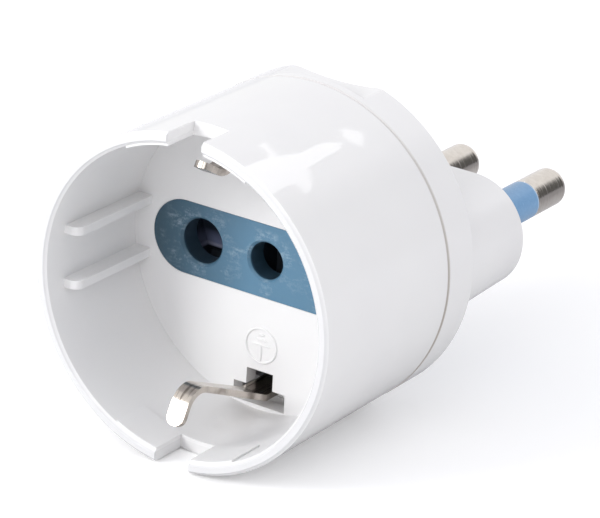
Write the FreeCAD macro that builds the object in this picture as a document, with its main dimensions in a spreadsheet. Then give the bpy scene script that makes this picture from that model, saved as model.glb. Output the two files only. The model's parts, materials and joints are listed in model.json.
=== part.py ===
"""Adapter from a Schuko or Italian 10 A plug to an Italian 16 A socket, in millimetres.

The axis of the body lies along Y. The plug face, where the three pins leave the boss, is the plane
Y = 0, with the earth pin on the axis and the pins pointing to +Y. The recess opens to -Y. The three
pins and the three holes stand in a row along X, and the two earth clips are at +Z and -Z.
Depths are measured from the plug face towards the mouth, so a depth is the same as -Y.
"""
import FreeCAD, Part
import math
import os

import Sketcher
from FreeCAD import Vector

SIZES = [
    ("shell_wall", 1.35, "wall of the shell at the seam"),
    ("shell_draft", 0.15, "how much wider the shell is at the rim"),
    ("recess_depth", 17.9, "rim to the recess floor"),
    ("floor_wall", 2.0, "thickness of the recess floor"),
    ("rim_bevel", 0.4, "bevel of the rim's two edges"),
    ("seam_bevel", 0.15, "bevel on both sides of the seam"),
    ("notch_width", 5.0, "rim notch over each earth clip"),
    ("notch_depth", 5.4, "rim notch, from the rim"),
    ("pad_width", 17.0, "thicker rim beside the notches"),
    ("pad_height", 0.25, "how far those pads stand in"),
    ("pad_depth", 6.0, "pads, from the rim"),
    ("rib_spacing", 7.0, "between the two guide ribs of one side"),
    ("rib_thick", 1.1, "thickness of a guide rib"),
    ("rib_height", 2.45, "rib crest above the recess wall"),
    ("rib_front_gap", 3.3, "rim to the nose of a rib"),
    ("rib_nose", 1.2, "rounding of the nose of a rib"),
    ("slot_gap", 0.05, "clip to the sides of the slot's neck"),
    ("slot_neck_length", 2.7, "clip to the inner end of the slot"),
    ("slot_head_width", 7.6, "outer part of the slot"),
    ("slot_head_length", 0.5, "clip to the outer part of the slot"),
    ("slot_head_room", 1.9, "clip to the outer end of the slot"),
    ("post_x", 7.6, "screw post beside the earth clip"),
    ("post_gap", 0.35, "screw post to the shutter frame"),
    ("post_side_gap", 0.05, "screw post to the spigot"),
    ("post_radius", 2.2, "outside of a screw post"),
    ("insert_end", 4.3, "blue insert beyond a live hole, along the row"),
    ("insert_border", 1.85, "blue insert beyond a live hole, across the row"),
    ("insert_gap", 0.05, "all round the insert"),
    ("flange_overhang", 1.0, "insert flange behind the floor"),
    ("flange_thick", 1.0, "thickness of that flange"),
    ("socket_pitch", 9.5, "centre hole to a live hole"),
    ("live_hole_radius", 2.9, "hole for a live pin of the plug"),
    ("earth_hole_radius", 2.4, "hole for the earth pin of the plug"),
    ("hole_bevel", 0.3, "bevel at the mouth of a hole"),
    ("ring_step", 0.05, "how far the rear ring stands out from the shell"),
    ("ring_length", 5.9, "seam to the back face"),
    ("ring_bevel", 0.4, "bevel of the back edge"),
    ("back_wall", 1.8, "thickness of the back wall"),
    ("spigot_wall", 1.55, "wall of the spigot inside the skirt"),
    ("spigot_length", 3.5, "spigot beyond the seam"),
    ("spigot_gap", 0.08, "spigot to skirt"),
    ("scoop_width", 13.2, "thumb scoop across the ring"),
    ("scoop_depth", 1.65, "thumb scoop at its middle"),
    ("scoop_land", 1.3, "ring left between the scoop and the seam"),
    ("boss_length", 12.6, "back face to the plug face"),
    ("boss_margin", 0.3, "pin to the centre of the boss's round end"),
    ("boss_end_radius", 7.35, "round end of the boss at the plug face"),
    ("boss_draft", 1.8, "draft of the boss in degrees"),
    ("boss_bevel", 0.8, "bevel of the plug face's edge"),
    ("boss_wall", 1.55, "side wall of the boss"),
    ("cavity_step", 0.8, "bore of the spigot to the end of the boss's cavity"),
    ("collar_room", 0.92, "collar of a pin to the end of the boss's cavity"),
    ("cavity_bevel", 0.7, "bevel at the mouth of the boss's cavity, where the strap bends"),
    ("pin_wall", 4.4, "end wall of the boss that holds the pins"),
    ("pin_pitch", 13.0, "earth pin to a live pin"),
    ("pin_radius", 2.5, "plug pin"),
    ("pin_length", 19.0, "plug face to the tip of a pin"),
    ("pin_tip_round", 1.25, "rounding of the tip"),
    ("pin_seat_radius", 2.8, "seat of a pin or sleeve in the end wall"),
    ("pin_gap", 0.02, "round a pin or sleeve"),
    ("sleeve_length", 11.7, "plug face to the end of the sleeve"),
    ("sleeve_wall", 0.5, "wall of a sleeve"),
    ("collar_radius", 3.3, "collar of a pin inside the boss"),
    ("collar_thick", 1.2, "thickness of that collar"),
    ("rivet_radius", 1.2, "riveted shank of a pin"),
    ("rivet_head_radius", 1.9, "riveted head"),
    ("rivet_head_height", 0.45, "height of the riveted head"),
    ("strap_thick", 0.8, "earth strap"),
    ("strap_width", 3.8, "earth strap"),
    ("strap_bend", 1.0, "inner bend radius of the earth strap"),
    ("strap_gap", 0.02, "strap to the back wall"),
    ("strap_side_gap", 0.25, "strap to the side wall of the boss"),
    ("clip_side_gap", 0.42, "clip to the bore of the spigot"),
    ("clip_rise", 1.1, "floor to the bend where a clip starts to lean"),
    ("lower_crown_gap", 2.7, "rim to the crown of the lower clip"),
    ("lower_tip_gap", 0.3, "rim to the tip of the lower clip"),
    ("lower_clip_lean", 6.1, "how far the lower clip's crown stands in"),
    ("lower_tip_return", 4.5, "how far the lower tip turns back outwards"),
    ("upper_crown_gap", 6.6, "rim to the crown of the upper clip"),
    ("upper_tip_gap", 3.4, "rim to the tip of the upper clip"),
    ("upper_clip_lean", 2.3, "how far the upper clip's crown stands in"),
    ("upper_tip_return", 1.9, "how far the upper tip turns back outwards"),
    ("clip_tip_width", 2.4, "width of a tip"),
    ("clip_tip_round", 1.1, "rounded corners of a tip"),
    ("crown_bend", 2.4, "inner bend radius at the crown"),
    ("sheet", 0.7, "brass sheet of the contact forks"),
    ("fork_bend", 0.3, "inner bend radius of a fork"),
    ("live_fork_width", 5.2, "live fork along the row"),
    ("live_fork_gap", 4.5, "between the jaws of a live fork"),
    ("earth_fork_width", 4.0, "earth fork along the row"),
    ("earth_fork_gap", 3.7, "between the jaws of the earth fork"),
    ("fork_belly", 0.4, "how much wider a fork is below its jaws"),
    ("fork_flare", 1.0, "how far a fork's lips open"),
    ("fork_lip", 2.0, "length of a fork's lips"),
    ("fork_neck", 4.6, "jaws to the straight part of a fork"),
    ("fork_end_gap", 0.3, "fork lips to the face of the carrier"),
    ("foot_margin", 2.6, "foot beyond the centre of the pin"),
    ("foot_half_width", 2.4, "half width of the foot"),
    ("foot_round", 1.5, "rounded end of the foot"),
    ("jaw_bend", 1.2, "inner bend radius of the jaws"),
    ("eyelet_gap", 0.05, "foot round the riveted shank"),
    ("clamp_sheet", 0.4, "steel of the clamp springs"),
    ("clamp_bend", 0.15, "inner bend radius of a clamp spring"),
    ("clamp_height", 3.0, "clamp spring along a fork"),
    ("clamp_gap", 0.06, "clamp spring to fork"),
    ("clamp_arm", 4.2, "arm of a clamp spring along the row"),
    ("clamp_drop", 3.4, "fork lips to the clamp spring"),
    ("carrier_length", 4.6, "contact carrier, from back to front"),
    ("carrier_end_wall", 2.35, "contact carrier beyond its outer cells"),
    ("carrier_side_wall", 3.94, "contact carrier above and below its cells"),
    ("carrier_corner", 3.0, "corner of the contact carrier"),
    ("carrier_gap", 0.05, "carrier to back wall and frame"),
    ("cell_gap", 0.55, "carrier's cells round the forks and clamps"),
    ("frame_plate", 1.2, "back plate of the shutter frame"),
    ("frame_rail", 1.1, "rails and walls of the shutter frame"),
    ("frame_gap", 0.1, "frame to the insert"),
    ("frame_corner", 1.2, "cut corner of the shutter frame"),
    ("frame_room", 0.7, "corner of the shutter frame to the bore of the spigot"),
    ("shutter_thick", 3.0, "shutter"),
    ("shutter_gap", 0.15, "shutter to its frame, all round"),
    ("shutter_travel", 6.2, "how far the shutter slides"),
    ("shutter_margin", 0.3, "shutter beyond a live hole"),
    ("shutter_top", 4.0, "row of holes to the upper edge"),
    ("shutter_tail", 0.9, "shutter below its windows"),
    ("ramp_foot", 0.5, "shutter left under the foot of a ramp"),
    ("spring_radius", 1.25, "shutter spring, middle of the wire"),
    ("spring_wire", 0.2, "half width of the spring wire"),
    ("spring_turns", 4, "turns of the shutter spring"),
    ("spring_length", 8.7, "shutter spring at rest"),
    ("spring_gap", 0.05, "spring to its two seats"),
    ("spring_side_gap", 0.5, "spring to the walls of its pocket"),
    ("screw_radius", 1.1, "screw shank and pilot hole"),
    ("screw_gap", 0.02, "shank to pilot hole"),
    ("screw_clearance", 0.35, "shank in the back wall"),
    ("screw_head_radius", 2.2, "screw head"),
    ("screw_head_height", 1.4, "screw head"),
    ("screw_length", 8.0, "screw under its head"),
    ("screw_sink", 1.6, "depth of the counterbore"),
    ("screw_seat", 1.4, "wall left under the screw head"),
    ("screw_rim", 0.9, "wall round the counterbore"),
    ("screw_end_gap", 0.5, "tip of the shank to the end of its pilot hole"),
    ("cross_width", 0.7, "cross slot in the screw head"),
    ("cross_length", 2.6, "cross slot in the screw head"),
    ("cross_depth", 0.8, "cross slot in the screw head"),
]

PLACES = [
    ("seam_depth", "boss_length + ring_length"),
    ("wall_depth", "boss_length + back_wall"),
    ("carrier_back", "wall_depth + carrier_gap"),
    ("carrier_front", "carrier_back + carrier_length"),
    ("plate_back", "carrier_front + carrier_gap"),
    ("plate_front", "plate_back + frame_plate"),
    ("shutter_back", "plate_front + shutter_gap"),
    ("shutter_front", "shutter_back + shutter_thick"),
    ("insert_back", "shutter_front + shutter_gap + frame_gap"),
    ("floor_back", "insert_back + flange_thick"),
    ("floor_depth", "floor_back + floor_wall"),
    ("rim_depth", "floor_depth + recess_depth"),
    ("shutter_half_length", "socket_pitch + live_hole_radius + shutter_margin"),
    ("shutter_foot", "shutter_travel + live_hole_radius + shutter_tail"),
    ("frame_bore", "shutter_half_length + shutter_gap"),
    ("frame_top", "shutter_top + shutter_travel + shutter_gap"),
    ("frame_foot", "shutter_foot + shutter_gap"),
    ("frame_side", "frame_bore + frame_rail"),
    ("frame_corner_z", "max(frame_top; frame_foot) + frame_rail - frame_corner"),
    ("frame_reach", "sqrt(frame_side * frame_side + frame_corner_z * frame_corner_z)"),
    ("post_z", "frame_foot + frame_rail + post_gap + post_radius"),
    ("post_reach", "sqrt(post_x * post_x + post_z * post_z) + post_radius"),
    ("cavity_radius", "boss_end_radius - boss_wall"),
    ("cavity_reach", "pin_pitch + collar_radius + collar_room"),
    ("cavity_pitch", "cavity_reach - cavity_radius"),
    ("spigot_bore", "max(frame_reach + frame_room; post_reach + post_side_gap; cavity_reach + cavity_step)"),
    ("spigot_radius", "spigot_bore + spigot_wall"),
    ("spigot_end", "seam_depth + spigot_length"),
    ("recess_radius", "spigot_radius + spigot_gap"),
    ("seam_radius", "recess_radius + shell_wall"),
    ("mouth_radius", "seam_radius + shell_draft"),
    ("ring_radius", "seam_radius + ring_step"),
    ("boss_pitch", "pin_pitch + boss_margin"),
    ("insert_half_length", "socket_pitch + live_hole_radius + insert_end"),
    ("insert_half_width", "live_hole_radius + insert_border"),
    ("seat_depth", "boss_length + screw_sink + screw_seat"),
    ("pilot_end", "boss_length + screw_sink + screw_length + screw_end_gap"),
    ("core_radius", "pin_radius - sleeve_wall"),
    ("foot_depth", "pin_wall + collar_thick"),
    ("earth_fork_depth", "foot_depth + strap_thick"),
    ("fork_end", "carrier_front - fork_end_gap"),
    ("clip_reach", "spigot_bore - clip_side_gap - strap_thick / 2"),
    ("clip_foot", "floor_depth + clip_rise"),
    ("slot_neck_width", "strap_width + 2 * slot_gap"),
    ("slot_neck_inner", "clip_reach - slot_neck_length"),
    ("slot_head_inner", "clip_reach - slot_head_length"),
    ("slot_head_outer", "clip_reach + slot_head_room"),
    ("spring_seat", "shutter_top + spring_length + 2 * spring_gap"),
    ("spring_bore", "spring_radius + spring_wire + spring_side_gap"),
]

SHEET_NAME = "Size"
TIP_CUTS = 2
CLOSE = 1e-4
doc = FreeCAD.newDocument("adapter")


class Measure:
    """A size of the sheet, or a sum made from sizes: its value, and the expression that gives it."""

    def __init__(self, value, text):
        self.value = value
        self.text = text

    def __float__(self):
        return self.value

    def __add__(self, other):
        other = measure(other)
        return Measure(self.value + other.value, "(%s + %s)" % (self.text, other.text))

    def __radd__(self, other):
        return measure(other) + self

    def __sub__(self, other):
        other = measure(other)
        return Measure(self.value - other.value, "(%s - %s)" % (self.text, other.text))

    def __rsub__(self, other):
        return measure(other) - self

    def __mul__(self, other):
        other = measure(other)
        return Measure(self.value * other.value, "(%s * %s)" % (self.text, other.text))

    def __rmul__(self, other):
        return measure(other) * self

    def __truediv__(self, other):
        other = measure(other)
        return Measure(self.value / other.value, "(%s / %s)" % (self.text, other.text))

    def __neg__(self):
        return Measure(-self.value, "(0 - %s)" % self.text)


def measure(thing):
    return thing if isinstance(thing, Measure) else Measure(float(thing), repr(thing))


def root(size):
    return Measure(math.sqrt(size.value), "sqrt(%s)" % size.text)


class Sizes:
    """Every cell of the sheet as an attribute."""


def make_sheet():
    sheet = doc.addObject("Spreadsheet::Sheet", SHEET_NAME)
    rows = [(name, str(value), meaning) for name, value, meaning in SIZES]
    rows += [(name, "=" + formula, "worked out") for name, formula in PLACES]
    for row, (name, content, meaning) in enumerate(rows, 1):
        sheet.set("A%d" % row, name)
        sheet.set("B%d" % row, content)
        sheet.set("C%d" % row, meaning)
        sheet.setAlias("B%d" % row, name)
    doc.recompute()
    sizes = Sizes()
    for name, content, meaning in rows:
        setattr(sizes, name, Measure(float(sheet.get(name)), "%s.%s" % (SHEET_NAME, name)))
    return sizes


S = make_sheet()


# Helpers: bodies, sketches whose points are bound to the sheet, and the features on them

def bind(thing, prop, size):
    thing.setExpression(prop, measure(size).text)


def make_body(label):
    body = doc.addObject("PartDesign::Body", "Body_" + label)
    body.Label = label
    return body


def make_sketch(body, plane, depth=None):
    """A sketch on one of the body's own planes: XY and YZ through the axis, or XZ at a depth."""
    sketch = body.newObject("Sketcher::SketchObject", "Sketch")
    origin = [o for o in body.Origin.OriginFeatures if o.Role == plane + "_Plane"][0]
    sketch.AttachmentSupport = [(origin, "")]
    sketch.MapMode = "FlatFace"
    if depth is not None:
        bind(sketch, ".AttachmentOffset.Base.z", depth)
    return sketch


def pin_down(sketch, edge, end, across, up):
    """Ties one point of a sketch to its two sizes."""
    for kind, size in (("DistanceX", across), ("DistanceY", up)):
        if measure(size).text in ("0", "0.0"):
            axis = -2 if kind == "DistanceX" else -1
            sketch.addConstraint(Sketcher.Constraint("PointOnObject", edge, end, axis))
            continue
        place = sketch.addConstraint(Sketcher.Constraint(kind, -1, 1, edge, end, float(size)))
        bind(sketch, "Constraints[%d]" % place, size)


def draw_polygon(sketch, points):
    first = sketch.GeometryCount
    count = len(points)
    spots = [Vector(float(across), float(up), 0) for across, up in points]
    for i in range(count):
        sketch.addGeometry(Part.LineSegment(spots[i], spots[(i + 1) % count]), False)
    for i in range(count):
        after = first + (i + 1) % count
        sketch.addConstraint(Sketcher.Constraint("Coincident", first + i, 2, after, 1))
    for i, (across, up) in enumerate(points):
        pin_down(sketch, first + i, 1, across, up)


def draw_box(sketch, left, right, low, high):
    draw_polygon(sketch, [(left, low), (right, low), (right, high), (left, high)])


def draw_circle(sketch, across, up, radius):
    centre = Vector(float(across), float(up), 0)
    edge = sketch.addGeometry(Part.Circle(centre, Vector(0, 0, 1), float(radius)), False)
    pin_down(sketch, edge, 3, across, up)
    place = sketch.addConstraint(Sketcher.Constraint("Radius", edge, float(radius)))
    bind(sketch, "Constraints[%d]" % place, radius)


def draw_arc(sketch, across, radius, start, end):
    """An arc about a point of the first sketch axis, from one angle to another."""
    circle = Part.Circle(Vector(float(across), 0, 0), Vector(0, 0, 1), float(radius))
    edge = sketch.addGeometry(Part.ArcOfCircle(circle, start, end), False)
    pin_down(sketch, edge, 3, across, 0)
    place = sketch.addConstraint(Sketcher.Constraint("Radius", edge, float(radius)))
    bind(sketch, "Constraints[%d]" % place, radius)
    return edge


def draw_stadium(sketch, pitch, radius):
    """Two half circles about (-pitch, 0) and (pitch, 0), joined by two straight sides."""
    quarter = math.pi / 2
    right = draw_arc(sketch, pitch, radius, -quarter, quarter)
    left = draw_arc(sketch, -pitch, radius, quarter, 3 * quarter)
    reach, half = float(pitch), float(radius)
    top = sketch.addGeometry(Part.LineSegment(Vector(reach, half, 0), Vector(-reach, half, 0)), False)
    base = sketch.addGeometry(Part.LineSegment(Vector(-reach, -half, 0), Vector(reach, -half, 0)), False)
    for edge, end, other, start in ((right, 2, top, 1), (top, 2, left, 1), (left, 2, base, 1), (base, 2, right, 1)):
        sketch.addConstraint(Sketcher.Constraint("Coincident", edge, end, other, start))
    for edge in (right, left):
        for end in (1, 2):
            sketch.addConstraint(Sketcher.Constraint("Vertical", edge, end, edge, 3))


def draw_band(sketch, inner, outer, half, side):
    """Part of a ring about the origin, between two upright sides, above or below it."""
    arcs = []
    for radius in (inner, outer):
        lean = math.acos(float(half) / float(radius))
        start = lean if side > 0 else math.pi + lean
        end = math.pi - lean if side > 0 else 2 * math.pi - lean
        arcs.append(draw_arc(sketch, 0, radius, start, end))
    low, high = float(inner), float(outer)
    for end, place in ((1, side * half), (2, -side * half)):
        across = float(place)
        ends = [side * math.sqrt(reach * reach - across * across) for reach in (low, high)]
        line = sketch.addGeometry(Part.LineSegment(Vector(across, ends[0], 0), Vector(across, ends[1], 0)), False)
        sketch.addConstraint(Sketcher.Constraint("Coincident", line, 1, arcs[0], end))
        sketch.addConstraint(Sketcher.Constraint("Coincident", line, 2, arcs[1], end))
        sketch.addConstraint(Sketcher.Constraint("Vertical", line))
        tie = sketch.addConstraint(Sketcher.Constraint("DistanceX", -1, 1, line, 1, across))
        bind(sketch, "Constraints[%d]" % tie, place)


def add_feature(body, kind, sketch, **sizes):
    feature = body.newObject("PartDesign::" + kind, kind)
    feature.Profile = sketch
    for prop, size in sizes.items():
        bind(feature, prop, size)
    doc.recompute()
    return feature


def pad(body, sketch, length, **more):
    """Adds material from the sketch towards the mouth."""
    return add_feature(body, "Pad", sketch, Length=length, **more)


def pocket(body, sketch, length):
    """Cuts from the sketch towards the pins."""
    return add_feature(body, "Pocket", sketch, Length=length)


def turn(body, sketch, kind="Revolution"):
    """Revolves a half section about the axis of the body."""
    feature = body.newObject("PartDesign::" + kind, kind)
    feature.Profile = sketch
    feature.ReferenceAxis = (sketch, ["V_Axis"])
    feature.Angle = 360
    doc.recompute()
    return feature


def dress(body, kind, size, chosen):
    """Rounds or bevels the edges of the body that the test picks."""
    base = body.Tip
    names = ["Edge%d" % (i + 1) for i, edge in enumerate(base.Shape.Edges) if chosen(edge)]
    feature = body.newObject("PartDesign::" + kind, kind)
    feature.Base = (base, names)
    bind(feature, "Radius" if kind == "Fillet" else "Size", size)
    doc.recompute()
    return feature


def near(value, size):
    return abs(value - float(size)) < CLOSE


def at_depth(edge, depth):
    """Whether an edge lies in the plane at a depth."""
    box = edge.BoundBox
    return near(-box.YMin, depth) and near(-box.YMax, depth)


def add_solid(label, shape):
    feature = doc.addObject("Part::Feature", "Solid_" + label)
    feature.Label = label
    feature.Shape = shape
    return feature


# Helper: a folded strip of sheet metal, which no pad of a fixed outline gives

def line_cross(first, first_way, second, second_way):
    """Where two lines in a plane cross."""
    scale = first_way.x * second_way.y - first_way.y * second_way.x
    gap = second - first
    return first + first_way * ((gap.x * second_way.y - gap.y * second_way.x) / scale)


def strip_side(points, ways, shift, bends):
    """One side of a folded strip: the centre line moved sideways, with an arc in each fold."""
    sides = [Vector(-way.y, way.x, 0) * shift for way in ways]
    corners = [points[0] + sides[0]]
    for i in range(1, len(points) - 1):
        corners.append(line_cross(points[i] + sides[i - 1], ways[i - 1], points[i] + sides[i], ways[i]))
    corners.append(points[-1] + sides[-1])
    edges = []
    here = corners[0]
    for i in range(1, len(points) - 1):
        before, after = ways[i - 1], ways[i]
        cross = before.x * after.y - before.y * after.x
        radius = bends[i - 1] - shift * math.copysign(1, cross)
        angle = math.acos(max(-1.0, min(1.0, before.dot(after))))
        reach = radius * math.tan(angle / 2)
        start = corners[i] - before * reach
        end = corners[i] + after * reach
        inward = Vector(-before.y, before.x, 0) * math.copysign(radius, cross)
        centre = start + inward
        middle = centre + (corners[i] - centre).normalize() * radius
        edges.append(Part.LineSegment(here, start).toShape())
        edges.append(Part.Arc(start, middle, end).toShape())
        here = end
    edges.append(Part.LineSegment(here, corners[-1]).toShape())
    return edges, corners[0], corners[-1]


def fold_strip(path, inner_bends, thick):
    """The outline of a folded strip in a plane, from the points where its centre line folds."""
    points = [Vector(float(across), float(up), 0) for across, up in path]
    ways = [(b - a).normalize() for a, b in zip(points, points[1:])]
    half = float(thick) / 2
    bends = [float(bend) + half for bend in inner_bends]
    left, left_start, left_end = strip_side(points, ways, half, bends)
    right, right_start, right_end = strip_side(points, ways, -half, bends)
    ends = [Part.LineSegment(left_end, right_end).toShape(), Part.LineSegment(right_start, left_start).toShape()]
    wire = Part.Wire(Part.__sortEdges__(left + right + ends))
    return Part.Face(wire)


def stand(face, x_way, y_way, start, length):
    """Extrudes a flat outline, with its own x and y turned to two directions of the adapter."""
    out = x_way.cross(y_way)
    turned = FreeCAD.Matrix(x_way.x, y_way.x, out.x, start.x, x_way.y, y_way.y, out.y, start.y,
                            x_way.z, y_way.z, out.z, start.z, 0, 0, 0, 1)
    solid = face.extrude(Vector(0, 0, float(length)))
    return solid.transformShape(turned, True)


ALONG = Vector(1, 0, 0)
MOUTHWARD = Vector(0, -1, 0)
UP = Vector(0, 0, 1)


# The front housing: one white moulding with the recess, its ribs and notches, and the screw posts

def cut_floor(body):
    """The insert's opening and the two slots for the earth clips."""
    opening = make_sketch(body, "XZ", S.floor_depth)
    draw_stadium(opening, S.insert_half_length - S.insert_half_width, S.insert_half_width + S.insert_gap)
    pocket(body, opening, S.floor_wall)
    slots = make_sketch(body, "XZ", S.floor_depth)
    neck, head = S.slot_neck_width / 2, S.slot_head_width / 2
    for side in (1, -1):
        draw_polygon(slots, [(-neck, side * S.slot_neck_inner), (neck, side * S.slot_neck_inner),
                             (neck, side * S.slot_head_inner), (head, side * S.slot_head_inner),
                             (head, side * S.slot_head_outer), (-head, side * S.slot_head_outer),
                             (-head, side * S.slot_head_inner), (-neck, side * S.slot_head_inner)])
    pocket(body, slots, S.floor_wall)


def add_ribs(body):
    """Two guide ribs on each side wall, from the floor to a rounded nose."""
    ribs = make_sketch(body, "XZ", S.floor_depth - S.floor_wall / 2)
    crest = S.recess_radius - S.rib_height
    wall = (S.recess_radius + S.seam_radius) / 2
    half = S.rib_thick / 2
    for side in (1, -1):
        for row in (S.rib_spacing / 2, -S.rib_spacing / 2):
            draw_box(ribs, side * crest, side * wall, row - half, row + half)
    nose = S.rim_depth - S.rib_front_gap
    pad(body, ribs, nose - S.floor_depth + S.floor_wall / 2)

    def on_nose(edge):
        return at_depth(edge, nose) and near(abs(edge.CenterOfMass.x), crest)
    dress(body, "Fillet", S.rib_nose, on_nose)


def add_posts(body):
    """The two posts that the screws from the back bite into."""
    posts = make_sketch(body, "XZ", S.seat_depth + S.carrier_gap)
    for side in (1, -1):
        draw_circle(posts, side * S.post_x, side * S.post_z, S.post_radius)
    pad(body, posts, S.floor_back + S.floor_wall / 2 - S.seat_depth - S.carrier_gap)
    pilots = make_sketch(body, "XZ", S.pilot_end)
    for side in (1, -1):
        draw_circle(pilots, side * S.post_x, side * S.post_z, S.screw_radius + S.screw_gap)
    pocket(body, pilots, S.pilot_end - S.seat_depth)


def make_front_housing():
    body = make_body("front_housing")
    shell = make_sketch(body, "XY")
    draw_polygon(shell, [(0, -S.floor_depth), (S.recess_radius, -S.floor_depth),
                         (S.recess_radius, -S.rim_depth), (S.mouth_radius, -S.rim_depth),
                         (S.seam_radius, -S.seam_depth - S.seam_bevel),
                         (S.seam_radius - S.seam_bevel, -S.seam_depth),
                         (S.recess_radius, -S.seam_depth), (S.recess_radius, -S.floor_back),
                         (0, -S.floor_back)])
    turn(body, shell)
    dress(body, "Chamfer", S.rim_bevel, lambda edge: at_depth(edge, S.rim_depth))
    pads = make_sketch(body, "XZ", S.rim_depth - S.pad_depth)
    for side in (1, -1):
        draw_band(pads, S.recess_radius - S.pad_height, S.recess_radius + S.pad_height, S.pad_width / 2, side)
    pad(body, pads, S.pad_depth - S.rim_bevel)
    add_ribs(body)
    notches = make_sketch(body, "XZ", S.rim_depth)
    notch, reach = S.notch_width / 2, S.mouth_radius + S.rim_bevel
    draw_box(notches, -notch, notch, -reach, reach)
    pocket(body, notches, S.notch_depth)
    add_posts(body)
    cut_floor(body)
    return body


# The rear housing: one white moulding with the ring, its spigot and the boss that holds the pins

def cut_scoops(body):
    """The two shallow thumb scoops, at the top and the bottom of the ring."""
    half = S.scoop_width / 2
    chord = root(S.ring_radius * S.ring_radius - half * half)
    bottom = S.ring_radius - S.scoop_depth
    rise = chord - bottom
    radius = (half * half + rise * rise) / (2 * rise)
    scoops = make_sketch(body, "XZ", S.seam_depth - S.scoop_land)
    for side in (1, -1):
        draw_circle(scoops, 0, side * (bottom + radius), radius)
    pocket(body, scoops, S.ring_length - S.scoop_land + S.ring_bevel)


def cut_screw_seats(body):
    """Thicker seats inside the back wall, with a counterbore and a clearance hole for each screw."""
    def spots(sketch, radius):
        for side in (1, -1):
            draw_circle(sketch, side * S.post_x, side * S.post_z, radius)
    seats = make_sketch(body, "XZ", S.wall_depth - S.back_wall / 2)
    spots(seats, S.screw_head_radius + S.screw_gap + S.screw_rim)
    pad(body, seats, S.seat_depth - S.wall_depth + S.back_wall / 2)
    sinks = make_sketch(body, "XZ", S.boss_length + S.screw_sink)
    spots(sinks, S.screw_head_radius + S.screw_clearance)
    pocket(body, sinks, S.screw_sink + S.ring_bevel)
    holes = make_sketch(body, "XZ", S.seat_depth)
    spots(holes, S.screw_radius + S.screw_clearance)
    pocket(body, holes, S.seat_depth - S.boss_length)


def make_rear_housing():
    body = make_body("rear_housing")
    ring = make_sketch(body, "XY")
    draw_polygon(ring, [(0, -S.boss_length), (S.ring_radius, -S.boss_length),
                        (S.ring_radius, -S.seam_depth + S.seam_bevel),
                        (S.ring_radius - S.seam_bevel, -S.seam_depth),
                        (S.spigot_radius, -S.seam_depth), (S.spigot_radius, -S.spigot_end),
                        (S.spigot_bore, -S.spigot_end), (S.spigot_bore, -S.wall_depth), (0, -S.wall_depth)])
    turn(body, ring)
    dress(body, "Chamfer", S.ring_bevel, lambda edge: at_depth(edge, S.boss_length))
    cut_scoops(body)
    boss = make_sketch(body, "XZ", 0)
    draw_stadium(boss, S.boss_pitch, S.boss_end_radius)
    pad(body, boss, S.boss_length + S.back_wall / 2, TaperAngle=S.boss_draft)
    dress(body, "Chamfer", S.boss_bevel, lambda edge: at_depth(edge, 0))
    cavity = make_sketch(body, "XZ", S.wall_depth)
    draw_stadium(cavity, S.cavity_pitch, S.cavity_radius)
    pocket(body, cavity, S.wall_depth - S.pin_wall)

    def on_cavity(edge):
        return at_depth(edge, S.wall_depth) and edge.BoundBox.ZLength < 2 * float(S.cavity_radius) + CLOSE
    dress(body, "Chamfer", S.cavity_bevel, on_cavity)
    cut_screw_seats(body)
    bores = make_sketch(body, "XZ", S.pin_wall)
    for side in (-1, 0, 1):
        draw_circle(bores, side * S.pin_pitch, 0, S.pin_seat_radius + S.pin_gap)
    pocket(body, bores, S.pin_wall + S.boss_bevel)
    return body


# The blue insert: a stadium plate in the floor, with a flange behind it and three holes

def make_socket_insert():
    body = make_body("socket_insert")
    pitch = S.insert_half_length - S.insert_half_width
    flange = make_sketch(body, "XZ", S.insert_back)
    draw_stadium(flange, pitch, S.insert_half_width + S.flange_overhang)
    pad(body, flange, S.flange_thick)
    plate = make_sketch(body, "XZ", S.floor_back)
    draw_stadium(plate, pitch, S.insert_half_width)
    pad(body, plate, S.floor_wall)
    holes = make_sketch(body, "XZ", S.floor_depth)
    draw_holes(holes)
    pocket(body, holes, S.floor_wall + S.flange_thick)

    def on_mouth(edge):
        return at_depth(edge, S.floor_depth) and near(edge.CenterOfMass.z, 0) and edge.Closed
    dress(body, "Chamfer", S.hole_bevel, on_mouth)
    return body


def draw_holes(sketch):
    """The three holes in their row: live, earth, live."""
    for side in (-1, 1):
        draw_circle(sketch, side * S.socket_pitch, 0, S.live_hole_radius)
    draw_circle(sketch, 0, 0, S.earth_hole_radius)


# The shutter: a plate that a pin pushes up by two ramps, in a frame behind the insert

def make_shutter_frame():
    body = make_body("shutter_frame")
    side, cut = S.frame_side, S.frame_corner
    top, foot = S.frame_top + S.frame_rail, S.frame_foot + S.frame_rail
    neck, crown = S.spring_bore + S.frame_rail, S.spring_seat + S.frame_rail
    outline = [(cut - side, -foot), (side - cut, -foot), (side, cut - foot), (side, top - cut),
               (side - cut, top), (neck, top), (neck, crown), (-neck, crown), (-neck, top),
               (cut - side, top), (-side, top - cut), (-side, cut - foot)]
    bay, pocket_half = S.frame_bore, S.spring_bore
    hollow = [(-bay, -S.frame_foot), (bay, -S.frame_foot), (bay, S.frame_top), (pocket_half, S.frame_top),
              (pocket_half, S.spring_seat), (-pocket_half, S.spring_seat), (-pocket_half, S.frame_top),
              (-bay, S.frame_top)]
    plate = make_sketch(body, "XZ", S.plate_back)
    draw_polygon(plate, outline)
    draw_holes(plate)
    pad(body, plate, S.frame_plate)
    walls = make_sketch(body, "XZ", S.plate_front)
    draw_polygon(walls, outline)
    draw_polygon(walls, hollow)
    pad(body, walls, S.insert_back - S.frame_gap - S.plate_front)
    return body


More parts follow.
